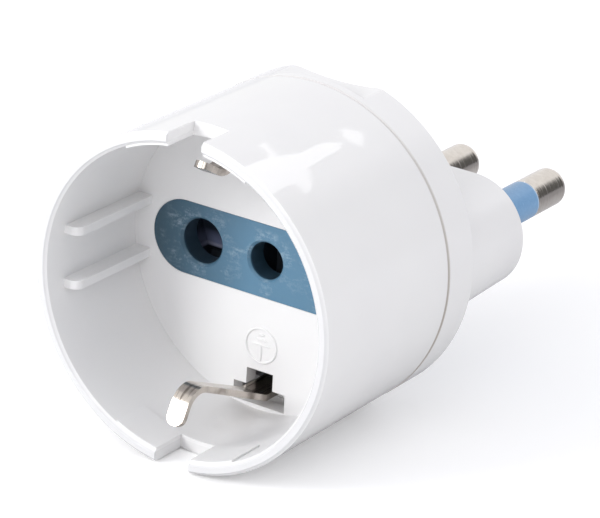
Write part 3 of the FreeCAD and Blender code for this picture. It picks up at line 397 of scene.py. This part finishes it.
def make_moulded_nylon(name, first, second):
    """Moulded polyamide: a satin with a faint grain."""
    material, tree, shader, place = new_material(name)
    grain = add(tree, "TexNoise", {"Vector": place, "Scale": 1 / MOULD_GRAIN, "Detail": 3.0})
    colour = mix_colours(tree, grain.outputs["Fac"], linear(first), linear(second))
    tree.links.new(colour, shader.inputs["Base Color"])
    rough = add(tree, "MapRange", {"Value": grain.outputs["Fac"], "To Min": 0.3, "To Max": 0.5})
    tree.links.new(rough.outputs["Result"], shader.inputs["Roughness"])
    bump = add(tree, "Bump", {"Height": grain.outputs["Fac"], "Strength": 0.1, "Distance": 0.02 * MM})
    tree.links.new(bump.outputs["Normal"], shader.inputs["Normal"])
    return material


def make_shutter_plastic():
    """Dark polyamide; on the ramps a violet band painted lighter as lit, a painted highlight line, and painted
    shade below, placed as the photograph has them.
    """
    material, tree, shader, place = new_material("dark polyamide with painted light on the ramps")
    parts = add(tree, "SeparateXYZ", {"Vector": place})
    up = parts.outputs["Z"]
    outward = add(tree, "Math", {0: parts.outputs["X"]}, operation="ABSOLUTE")
    inner = add(tree, "MapRange", {"Value": outward.outputs["Value"], "From Min": RAMP_INNER,
                                   "From Max": RAMP_INNER_FULL})
    outer = add(tree, "MapRange", {"Value": outward.outputs["Value"], "From Min": RAMP_OUTER,
                                   "From Max": RAMP_OUTER_FULL})
    on_ramp = add(tree, "Math", {0: inner.outputs["Result"], 1: outer.outputs["Result"]},
                  operation="MULTIPLY")
    # The violet band is the ramps' colour painted lighter where lit; below its foot they stay dark as painted
    # shade.
    fade = add(tree, "MapRange", {"Value": up, "From Min": BAND_START, "From Max": BAND_FULL})
    above = add(tree, "MapRange", {"Value": up, "From Min": BAND_FOOT, "From Max": BAND_FOOT_FULL})
    foot = add(tree, "Math", {0: above.outputs["Result"], 1: on_ramp.outputs["Value"]}, operation="MULTIPLY")
    violet = add(tree, "Math", {0: fade.outputs["Result"], 1: foot.outputs["Value"]}, operation="MULTIPLY")
    band = mix_colours(tree, violet.outputs["Value"], linear(SHUTTER_DARK), linear(SHUTTER_VIOLET_LIT))
    # Painted highlight: a bright line across the ramps.
    from_line = add(tree, "Math", {0: up, 1: SHUTTER_HIGHLIGHT_PLACE}, operation="SUBTRACT")
    off_line = add(tree, "Math", {0: from_line.outputs["Value"]}, operation="ABSOLUTE")
    line = add(tree, "MapRange", {"Value": off_line.outputs["Value"], "From Min": SHUTTER_HIGHLIGHT_FULL,
                                  "From Max": SHUTTER_HIGHLIGHT_GONE, "To Min": 0.75, "To Max": 0.0})
    bright = add(tree, "Math", {0: line.outputs["Result"], 1: on_ramp.outputs["Value"]}, operation="MULTIPLY")
    colour = mix_colours(tree, bright.outputs["Value"], band, linear(SHUTTER_PAINTED_HIGHLIGHT))
    tree.links.new(colour, shader.inputs["Base Color"])
    shader.inputs["Roughness"].default_value = 0.35
    return material


wear(smooth_copy("shutter", 0.12), make_shutter_plastic())
inner_plastic = make_moulded_nylon("moulded dark polyamide", FRAME_GREY, FRAME_DEEP)
for node in ("shutter_frame", "contact_carrier"):
    wear(frame["nodes"][node], inner_plastic)

WIRE_RADIUS = 0.2
COIL_RADIUS = 1.25
COIL_TURNS = 4
TURN_STEPS = 40
WIRE_STEPS = 12
COIL_DEPTH = 21.95
COIL_LOW, COIL_HIGH = 4.05, 12.75
STEEL = "#B9B7B3"
STEEL_DULL = "#9A9894"


def make_coil():
    """A helix about an upright line, with a round section square to it and closed flat ends."""
    along = np.linspace(0, 1, TURN_STEPS * COIL_TURNS + 1)
    turn = 2 * math.pi * COIL_TURNS * along
    climb = COIL_HIGH - COIL_LOW - 2 * WIRE_RADIUS
    height = COIL_LOW + WIRE_RADIUS + climb * along
    centre = np.stack([COIL_RADIUS * np.cos(turn), COIL_RADIUS * np.sin(turn) - COIL_DEPTH, height], 1)
    ahead = np.gradient(centre, axis=0)
    ahead /= np.linalg.norm(ahead, axis=1, keepdims=True)
    out = np.stack([np.cos(turn), np.sin(turn), np.zeros_like(turn)], 1)
    over = np.cross(ahead, out)
    spin = np.linspace(0, 2 * math.pi, WIRE_STEPS, endpoint=False)[None, :, None]
    ring = (out[:, None] * np.cos(spin) + over[:, None] * np.sin(spin)) * WIRE_RADIUS
    tube = centre[:, None] + ring
    ends = [np.repeat(centre[k][None, None], WIRE_STEPS, 1) for k in (0, -1)]
    points = np.concatenate([ends[0], tube, ends[1]]) * MM
    return join_meshes("shutter_spring_coil", [grid_mesh("coil", points, wrap_round=True)])


def make_steel(name, colour, grain_mm):
    """Bright rolled or drawn steel: a hard shine with faint lines from the die."""
    material, tree, shader, place = new_material(name)
    grain = add(tree, "TexNoise", {"Vector": place, "Scale": 1 / (grain_mm * MM), "Detail": 3.0})
    mixed = mix_colours(tree, grain.outputs["Fac"], linear(colour), linear(STEEL_DULL))
    tree.links.new(mixed, shader.inputs["Base Color"])
    rough = add(tree, "MapRange", {"Value": grain.outputs["Fac"], "To Min": 0.2, "To Max": 0.38})
    tree.links.new(rough.outputs["Result"], shader.inputs["Roughness"])
    shader.inputs["Metallic"].default_value = 1.0
    return material


spring_steel = make_steel("drawn spring steel", STEEL, 0.4)
coil = new_piece("shutter_spring_coil", make_coil(), "adapter", spring_steel, ["shutter_spring"])
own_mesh(coil)


# The three contacts: brass strip stamped and folded into forks, each with a steel clip round it that
# presses its jaws together. They stand in the cells of the contact carrier, out of sight.
BRASS = "#C9A45C"
BRASS_STAINED = "#B08A48"
STAIN_SIZE = 2.0 * MM


def make_brass():
    """Stamped brass strip: a warm dull shine with darker stains."""
    material, tree, shader, place = new_material("stamped brass strip")
    stain = add(tree, "TexNoise", {"Vector": place, "Scale": 1 / STAIN_SIZE, "Detail": 4.0})
    colour = mix_colours(tree, stain.outputs["Fac"], linear(BRASS), linear(BRASS_STAINED))
    tree.links.new(colour, shader.inputs["Base Color"])
    rough = add(tree, "MapRange", {"Value": stain.outputs["Fac"], "To Min": 0.25, "To Max": 0.45})
    tree.links.new(rough.outputs["Result"], shader.inputs["Roughness"])
    shader.inputs["Metallic"].default_value = 1.0
    return material


brass = make_brass()
for pole in ("line", "neutral", "earth"):
    wear(frame["nodes"][pole + "_contact"], brass)
    wear(frame["nodes"][pole + "_contact_spring"], spring_steel)


# The earth strap: one nickel-plated bronze strip, blanked, folded and riveted on the earth pin. Its two
# ends come up through the recess floor as the sprung earth clips.
NICKEL_WARM = "#DBD4CD"
NICKEL_DULL = "#BFB5AB"
ROLL_LINE_AND_REFLECTION_DARK = "#5C524A"
ROLL_LINES = 0.4 * MM
LINE_LENGTH = 4.0 * MM
PLATING_CLOUD = 3.0 * MM


def make_strap_metal():
    """Plated strip: a warm, nearly mirror-like shine with dark streaks lengthwise, painted for the rolling
    lines and the dark reflections along them.
    """
    material, tree, shader, place = new_material("nickel-plated bronze strip")
    lay = add(tree, "Mapping", {"Vector": place, "Scale": (1 / ROLL_LINES, 1 / LINE_LENGTH, 1 / LINE_LENGTH)})
    lines = add(tree, "TexNoise", {"Vector": lay.outputs["Vector"], "Scale": 1.0, "Detail": 3.0})
    cloud = add(tree, "TexNoise", {"Vector": place, "Scale": 1 / PLATING_CLOUD, "Detail": 3.0})
    plated = mix_colours(tree, cloud.outputs["Fac"], linear(NICKEL_WARM), linear(NICKEL_DULL))
    # Dark streaks: rolling lines together with painted reflection.
    drawn = add(tree, "MapRange", {"Value": lines.outputs["Fac"], "From Min": 0.5, "From Max": 0.66,
                                   "To Max": 0.7})
    colour = mix_colours(tree, drawn.outputs["Result"], plated, linear(ROLL_LINE_AND_REFLECTION_DARK))
    tree.links.new(colour, shader.inputs["Base Color"])
    rough = add(tree, "MapRange", {"Value": lines.outputs["Fac"], "To Min": 0.16, "To Max": 0.32})
    tree.links.new(rough.outputs["Result"], shader.inputs["Roughness"])
    bump = add(tree, "Bump", {"Height": lines.outputs["Fac"], "Strength": 0.15, "Distance": 0.01 * MM})
    tree.links.new(bump.outputs["Normal"], shader.inputs["Normal"])
    shader.inputs["Metallic"].default_value = 1.0
    return material


wear(smooth_copy("earth_strap", 0.14, steps=3), make_strap_metal())


# The plug pins: brass bar, turned and nickel plated, with a rounded tip. The outer two carry a blue
# sleeve up to the part that the socket's contacts grip.
PIN_RADIUS = 2.5
SEAT_RADIUS = 2.8
PIN_PITCH = 13.0
PIN_LENGTH = 19.0
TIP_ROUND = 1.25
SLEEVE_END = 11.7
CORE_RADIUS = 2.0
SEAT_DEPTH = 4.4
COLLAR_RADIUS = 3.3
COLLAR_DEPTH = 5.6
SHANK_RADIUS = 1.2
RIVET_RADIUS = 1.9
RIVET_HEAD = 0.45
LIVE_RIVET, EARTH_RIVET = 6.3, 7.1
NICKEL = "#E6E0DA"
NICKEL_SHADE = "#CFC7BF"
TURNING_PITCH = 0.28 * MM
SLEEVE_BLUE = "#82A9CE"
SLEEVE_SHADE = "#6F99C2"
SLEEVE_PAINTED_HIGHLIGHT = "#CFE0F0"
SLEEVE_HIGHLIGHT_START, SLEEVE_HIGHLIGHT_FULL = (SLEEVE_END - 0.3) * MM, (SLEEVE_END - 0.16) * MM
WOBBLE_SIZE = 0.9 * MM
WOBBLE = 0.12 * MM
TURNED_EDGE, SLEEVE_EDGE = 0.06, 0.1
PIN_STEPS, TIP_STEPS = 96, 12


def lathe(name, radii, stations, across):
    """Turns a profile of radii and stations round the pin's own line."""
    spin = np.linspace(0, 2 * math.pi, PIN_STEPS, endpoint=False)
    x = across + radii[:, None] * np.cos(spin)
    z = radii[:, None] * np.sin(spin)
    y = np.repeat(stations[:, None], len(spin), 1)
    return grid_mesh(name, np.stack([x, y, z], 2) * MM, wrap_round=True)


def rounded(corners, reach, steps=5):
    """A profile through corners, each cut by a curve that starts and ends that reach from it."""
    corners = np.array(corners, float)
    share = np.linspace(0, 1, steps)[:, None]
    points = [corners[0]]
    for before, here, after in zip(corners, corners[1:], corners[2:]):
        come = (here - before) / np.linalg.norm(here - before)
        leave = (after - here) / np.linalg.norm(after - here)
        start, end = here - come * reach, here + leave * reach
        points.extend((1 - share) ** 2 * start + 2 * share * (1 - share) * here + share ** 2 * end)
    points.append(corners[-1])
    return np.array(points)


def pin_profile(seat_radius, step, rivet_end):
    """From the riveted end inside the boss, over its head, shank, collar and seat, to the rounded tip."""
    head = rivet_end + RIVET_HEAD
    corners = [(0, -head), (RIVET_RADIUS, -head), (RIVET_RADIUS, -rivet_end), (SHANK_RADIUS, -rivet_end),
               (SHANK_RADIUS, -COLLAR_DEPTH), (COLLAR_RADIUS, -COLLAR_DEPTH), (COLLAR_RADIUS, -SEAT_DEPTH),
               (seat_radius, -SEAT_DEPTH), (seat_radius, step), (PIN_RADIUS, step),
               (PIN_RADIUS, PIN_LENGTH - TIP_ROUND)]
    base = rounded(corners, TURNED_EDGE)[:-1]
    turn = np.linspace(0, math.pi / 2, TIP_STEPS)
    tip_radii = PIN_RADIUS - TIP_ROUND * (1 - np.cos(turn))
    tip_stations = PIN_LENGTH - TIP_ROUND * (1 - np.sin(turn))
    radii = np.concatenate([base[:, 0], tip_radii, [0]])
    return radii, np.concatenate([base[:, 1], tip_stations, [PIN_LENGTH]])


def make_pin_metal():
    """Turned and plated brass: a sharp shine across the pin, broken into fine uneven rings."""
    material, tree, shader, place = new_material("turned and nickel-plated brass")
    parts = add(tree, "SeparateXYZ", {"Vector": place})
    wobble = add(tree, "TexNoise", {"Vector": place, "Scale": 1 / WOBBLE_SIZE, "Detail": 3.0})
    station = add(tree, "Math", {0: wobble.outputs["Fac"], 1: WOBBLE, 2: parts.outputs["Y"]},
                  operation="MULTIPLY_ADD")
    only = add(tree, "CombineXYZ", {"Y": station.outputs["Value"]})
    rings = add(tree, "TexNoise", {"Vector": only.outputs["Vector"], "Scale": 1 / TURNING_PITCH, "Detail": 2.0})
    tree.links.new(mix_colours(tree, wobble.outputs["Fac"], linear(NICKEL), linear(NICKEL_SHADE)),
                   shader.inputs["Base Color"])
    rough = add(tree, "MapRange", {"Value": rings.outputs["Fac"], "To Min": 0.08, "To Max": 0.18})
    tree.links.new(rough.outputs["Result"], shader.inputs["Roughness"])
    bump = add(tree, "Bump", {"Height": rings.outputs["Fac"], "Strength": 0.9, "Distance": 0.05 * MM})
    tree.links.new(bump.outputs["Normal"], shader.inputs["Normal"])
    shader.inputs["Metallic"].default_value = 1.0
    return material


pin_metal = make_pin_metal()
radii, stations = pin_profile(SEAT_RADIUS, 0.0, EARTH_RIVET)
earth_pin = join_meshes("earth_pin_turned", [lathe("pin", radii, stations, 0)])
new_piece("earth_pin_turned", earth_pin, "adapter", pin_metal, ["earth_pin"])
radii, stations = pin_profile(CORE_RADIUS, SLEEVE_END, LIVE_RIVET)
for name, across in (("line_pin", PIN_PITCH), ("neutral_pin", -PIN_PITCH)):
    tip = join_meshes(name + "_turned", [lathe("pin", radii, stations, across)])
    new_piece(name + "_turned", tip, "adapter", pin_metal, [name])


def make_sleeve_plastic():
    """Blue polyamide, with a painted highlight along the edge of the sleeve's end, as the photograph has it."""
    material, tree, shader, place = new_material("moulded blue polyamide sleeve")
    grain = add(tree, "TexNoise", {"Vector": place, "Scale": 1 / MOULD_GRAIN, "Detail": 3.0})
    body = mix_colours(tree, grain.outputs["Fac"], linear(SLEEVE_BLUE), linear(SLEEVE_SHADE))
    parts = add(tree, "SeparateXYZ", {"Vector": place})
    # Painted highlight along the edge of the sleeve's end.
    pale = add(tree, "MapRange", {"Value": parts.outputs["Y"], "From Min": SLEEVE_HIGHLIGHT_START, "From Max": SLEEVE_HIGHLIGHT_FULL,
                                  "To Max": 0.6})
    colour = mix_colours(tree, pale.outputs["Result"], body, linear(SLEEVE_PAINTED_HIGHLIGHT))
    tree.links.new(colour, shader.inputs["Base Color"])
    rough = add(tree, "MapRange", {"Value": grain.outputs["Fac"], "To Min": 0.18, "To Max": 0.32})
    tree.links.new(rough.outputs["Result"], shader.inputs["Roughness"])
    bump = add(tree, "Bump", {"Height": grain.outputs["Fac"], "Strength": 0.1, "Distance": 0.02 * MM})
    tree.links.new(bump.outputs["Normal"], shader.inputs["Normal"])
    return material


sleeve_plastic = make_sleeve_plastic()
sleeve = rounded([(CORE_RADIUS, -SEAT_DEPTH), (SEAT_RADIUS, -SEAT_DEPTH), (SEAT_RADIUS, 0), (PIN_RADIUS, 0),
                  (PIN_RADIUS, SLEEVE_END), (CORE_RADIUS, SLEEVE_END), (CORE_RADIUS, -SEAT_DEPTH)], SLEEVE_EDGE)
for name, across in (("line_pin_sleeve", PIN_PITCH), ("neutral_pin_sleeve", -PIN_PITCH)):
    tube = join_meshes(name + "_moulded", [lathe("sleeve", sleeve[:, 0], sleeve[:, 1], across)])
    new_piece(name + "_moulded", tube, "adapter", sleeve_plastic, [name])


# The two housing screws: zinc-plated steel with a cross slot, deep in holes on either side of the boss.
SCREW_ZINC = "#C4C4C2"

wear(smooth_copy("housing_screws", 0.08), make_steel("zinc-plated screw steel", SCREW_ZINC, 0.5))


# The stage: a white sweep under the adapter, a pale room, a large soft lamp above on the left, and the
# camera at the photograph's place, which was worked out from the round rim and the row of holes.
FLOOR_LEVEL = -21.2
FLOOR_REACH = 3000
FLOOR_TONE = "#FFFFFF"
CAMERA_PLACE = (221.63, -354.87, 164.80)
CAMERA_AZIMUTH = 33.431
CAMERA_ELEVATION = 22.524
CAMERA_ROLL = 3.08
SENSOR = 36.0
FOCAL_PIXELS = 3554.96
PICTURE_WIDTH = 600
CARD_CENTRE = (13.5, 58.5, 92.5)
CARD_TURN = 2.0
CARD_TILT = 51.8
CARD_STAR = ((35, 0.5), (34, 1.5), (14, 3), (6.5, 0), (6.5, -4), (-1, -6.5), (-5.5, -6.5), (-9, -4.5),
             (-10.5, -1.5), (-21, -3.5), (-33, -6.5), (-33, -5.5), (-21, -1), (-19, 0.5), (-26, 8), (22, 9),
             (16, 4))
CARD_PANE = ((11.5, -7), (-1.5, -10), (-15, -11), (-3.5, -8), (3, -7))
CARD_GLOW = 2.6
BOUNCE_TONE = "#E8E8E8"
GLOW_START, GLOW_FULL = 100 * MM, 400 * MM
GLOW_NEAR, GLOW_FAR = 0.1, 0.4
MIRRORED_REACH = 60 * MM
MIRRORED_LEFT, MIRRORED_RIGHT = "#FFFFFF", "#A2A2A4"
ROOM_TONE = "#F4F4F8"
ROOM_LIGHT = 0.88
GLOOM_LIGHT = 0.12
LIT_POINT = (0, -25, 0)
LAMPS = (("key lamp", (-250, -450, 230), 200, 1.5), ("front lamp", (150, -460, 280), 220, 0.28),
         ("side lamp", (420, -20, 260), 200, 0.36))


def make_floor():
    """A flat white sheet that glows a little to the camera alone, and shows glossy surfaces other tones."""
    mesh = bpy.data.meshes.new("sweep")
    side = FLOOR_REACH * MM
    corners = [(-side, -side), (side, -side), (side, side), (-side, side)]
    mesh.from_pydata([(x, y, FLOOR_LEVEL * MM) for x, y in corners], [], [(0, 1, 2, 3)])
    floor = bpy.data.objects.new("sweep", mesh)
    bpy.context.scene.collection.objects.link(floor)
    material = bpy.data.materials.new("white paper sweep")
    material.use_nodes = True
    tree = material.node_tree
    tree.nodes.clear()
    paper = add(tree, "BsdfDiffuse", {"Color": linear(FLOOR_TONE)})
    spot = add(tree, "SeparateXYZ", {"Vector": add(tree, "NewGeometry").outputs["Position"]})
    reach = add(tree, "VectorMath", {0: add(tree, "NewGeometry").outputs["Position"]}, operation="LENGTH")
    glow = add(tree, "MapRange", {"Value": reach.outputs["Value"], "From Min": GLOW_START,
                                  "From Max": GLOW_FULL, "To Min": GLOW_NEAR, "To Max": GLOW_FAR})
    light = add(tree, "Emission", {"Color": (1, 1, 1, 1), "Strength": glow.outputs["Result"]})
    both = add(tree, "AddShader", {0: paper.outputs[0], 1: light.outputs[0]})
    plain = add(tree, "BsdfDiffuse", {"Color": linear(BOUNCE_TONE)})
    away = add(tree, "MapRange", {"Value": spot.outputs["X"], "From Min": -MIRRORED_REACH,
                                  "From Max": MIRRORED_REACH})
    tone = mix_colours(tree, away.outputs["Result"], linear(MIRRORED_LEFT), linear(MIRRORED_RIGHT))
    dim = add(tree, "BsdfDiffuse", {"Color": tone})
    path = add(tree, "LightPath")
    unseen = add(tree, "MixShader", {0: path.outputs["Is Glossy Ray"], 1: plain.outputs[0], 2: dim.outputs[0]})
    shown = add(tree, "MixShader", {0: path.outputs["Is Camera Ray"], 1: unseen.outputs[0], 2: both.outputs[0]})
    add(tree, "OutputMaterial", {"Surface": shown.outputs[0]})
    mesh.materials.append(material)


def make_world():
    """A pale room, plain white to the camera, with a dark part at the right that only gloss mirrors."""
    world = bpy.data.worlds.new("pale room")
    world.use_nodes = True
    tree = world.node_tree
    tree.nodes.clear()
    room = add(tree, "Background", {"Color": linear(ROOM_TONE), "Strength": ROOM_LIGHT})
    direction = add(tree, "TexCoord").outputs["Generated"]
    way = add(tree, "SeparateXYZ", {"Vector": direction})
    right = add(tree, "MapRange", {"Value": way.outputs["X"], "From Min": 0.20, "From Max": 0.42})
    low = add(tree, "MapRange", {"Value": way.outputs["Z"], "From Min": 0.66, "From Max": 0.60})
    gloom = add(tree, "Math", {0: right.outputs["Result"], 1: low.outputs["Result"]}, operation="MULTIPLY")
    sky = add(tree, "MapRange", {"Value": gloom.outputs["Value"], "To Min": 1.0, "To Max": GLOOM_LIGHT})
    mirrored = add(tree, "Background", {"Color": sky.outputs["Result"], "Strength": 1.0})
    white = add(tree, "Background", {"Color": (1, 1, 1, 1), "Strength": 1.0})
    path = add(tree, "LightPath")
    glossy = add(tree, "MixShader", {0: path.outputs["Is Glossy Ray"], 1: room.outputs[0],
                                     2: mirrored.outputs[0]})
    seen = add(tree, "MixShader", {0: path.outputs["Is Camera Ray"], 1: glossy.outputs[0], 2: white.outputs[0]})
    add(tree, "OutputWorld", {"Surface": seen.outputs[0]})
    bpy.context.scene.world = world


def aim(thing, place, target):
    """Puts a lamp at a place in millimetres and turns it to face another."""
    away = Vector(place) - Vector(target)
    turned = away.to_track_quat("Z", "Y").to_matrix().to_4x4()
    thing.matrix_world = Matrix.Translation(Vector(place) * MM) @ turned


def make_lamp(name, place, side, power):
    """A square soft white lamp that faces the adapter."""
    lamp = bpy.data.lights.new(name, "AREA")
    lamp.shape = "RECTANGLE"
    lamp.size = lamp.size_y = side * MM
    lamp.energy = power
    thing = bpy.data.objects.new(name, lamp)
    thing.visible_camera = False
    bpy.context.scene.collection.objects.link(thing)
    aim(thing, place, LIT_POINT)


def make_window_card():
    """A bright card behind the adapter that only glossy surfaces mirror, as the star on the shell.

    Its outline began as the photograph's highlight traced back to the card's plane. It was then rounded to half
    millimetres, and some corners were moved.
    """
    mesh = bpy.data.meshes.new("window card")
    turn, tilt = math.radians(CARD_TURN), math.radians(CARD_TILT)
    side = Vector((-math.cos(turn), math.sin(turn), 0))
    over = Vector((-math.sin(turn) * math.cos(tilt), -math.cos(turn) * math.cos(tilt), math.sin(tilt)))
    spots = [Vector(CARD_CENTRE) + side * a + over * b for a, b in CARD_STAR + CARD_PANE]
    star = tuple(range(len(CARD_STAR)))
    pane = tuple(range(len(CARD_STAR), len(spots)))
    mesh.from_pydata([spot * MM for spot in spots], [], [star, pane])
    material = bpy.data.materials.new("window light")
    material.use_nodes = True
    tree = material.node_tree
    tree.nodes.clear()
    glow = add(tree, "Emission", {"Color": (1, 1, 1, 1), "Strength": CARD_GLOW})
    add(tree, "OutputMaterial", {"Surface": glow.outputs[0]})
    mesh.materials.append(material)
    card = bpy.data.objects.new("window card", mesh)
    bpy.context.scene.collection.objects.link(card)
    card.visible_camera = card.visible_diffuse = card.visible_shadow = False
    card.visible_transmission = False


def make_camera():
    """The photograph's camera, from its place, its two angles and its roll."""
    azimuth, elevation, roll = (math.radians(a) for a in (CAMERA_AZIMUTH, CAMERA_ELEVATION, CAMERA_ROLL))
    ahead = Vector((-math.sin(azimuth) * math.cos(elevation), math.cos(azimuth) * math.cos(elevation),
                    -math.sin(elevation)))
    level = Vector((math.cos(azimuth), math.sin(azimuth), 0))
    above = level.cross(ahead)
    right = level * math.cos(roll) + above * math.sin(roll)
    up = right.cross(ahead)
    lens = bpy.data.cameras.new("camera")
    lens.sensor_width = SENSOR
    lens.lens = SENSOR * FOCAL_PIXELS / PICTURE_WIDTH
    camera = bpy.data.objects.new("camera", lens)
    bpy.context.scene.collection.objects.link(camera)
    turned = Matrix((right, up, -ahead)).transposed().to_4x4()
    camera.matrix_world = Matrix.Translation(Vector(CAMERA_PLACE) * MM) @ turned
    bpy.context.scene.camera = camera


make_floor()
make_world()
make_window_card()
for name, place, side, power in LAMPS:
    make_lamp(name, place, side, power)
make_camera()
bpy.context.scene.view_settings.view_transform = "Standard"
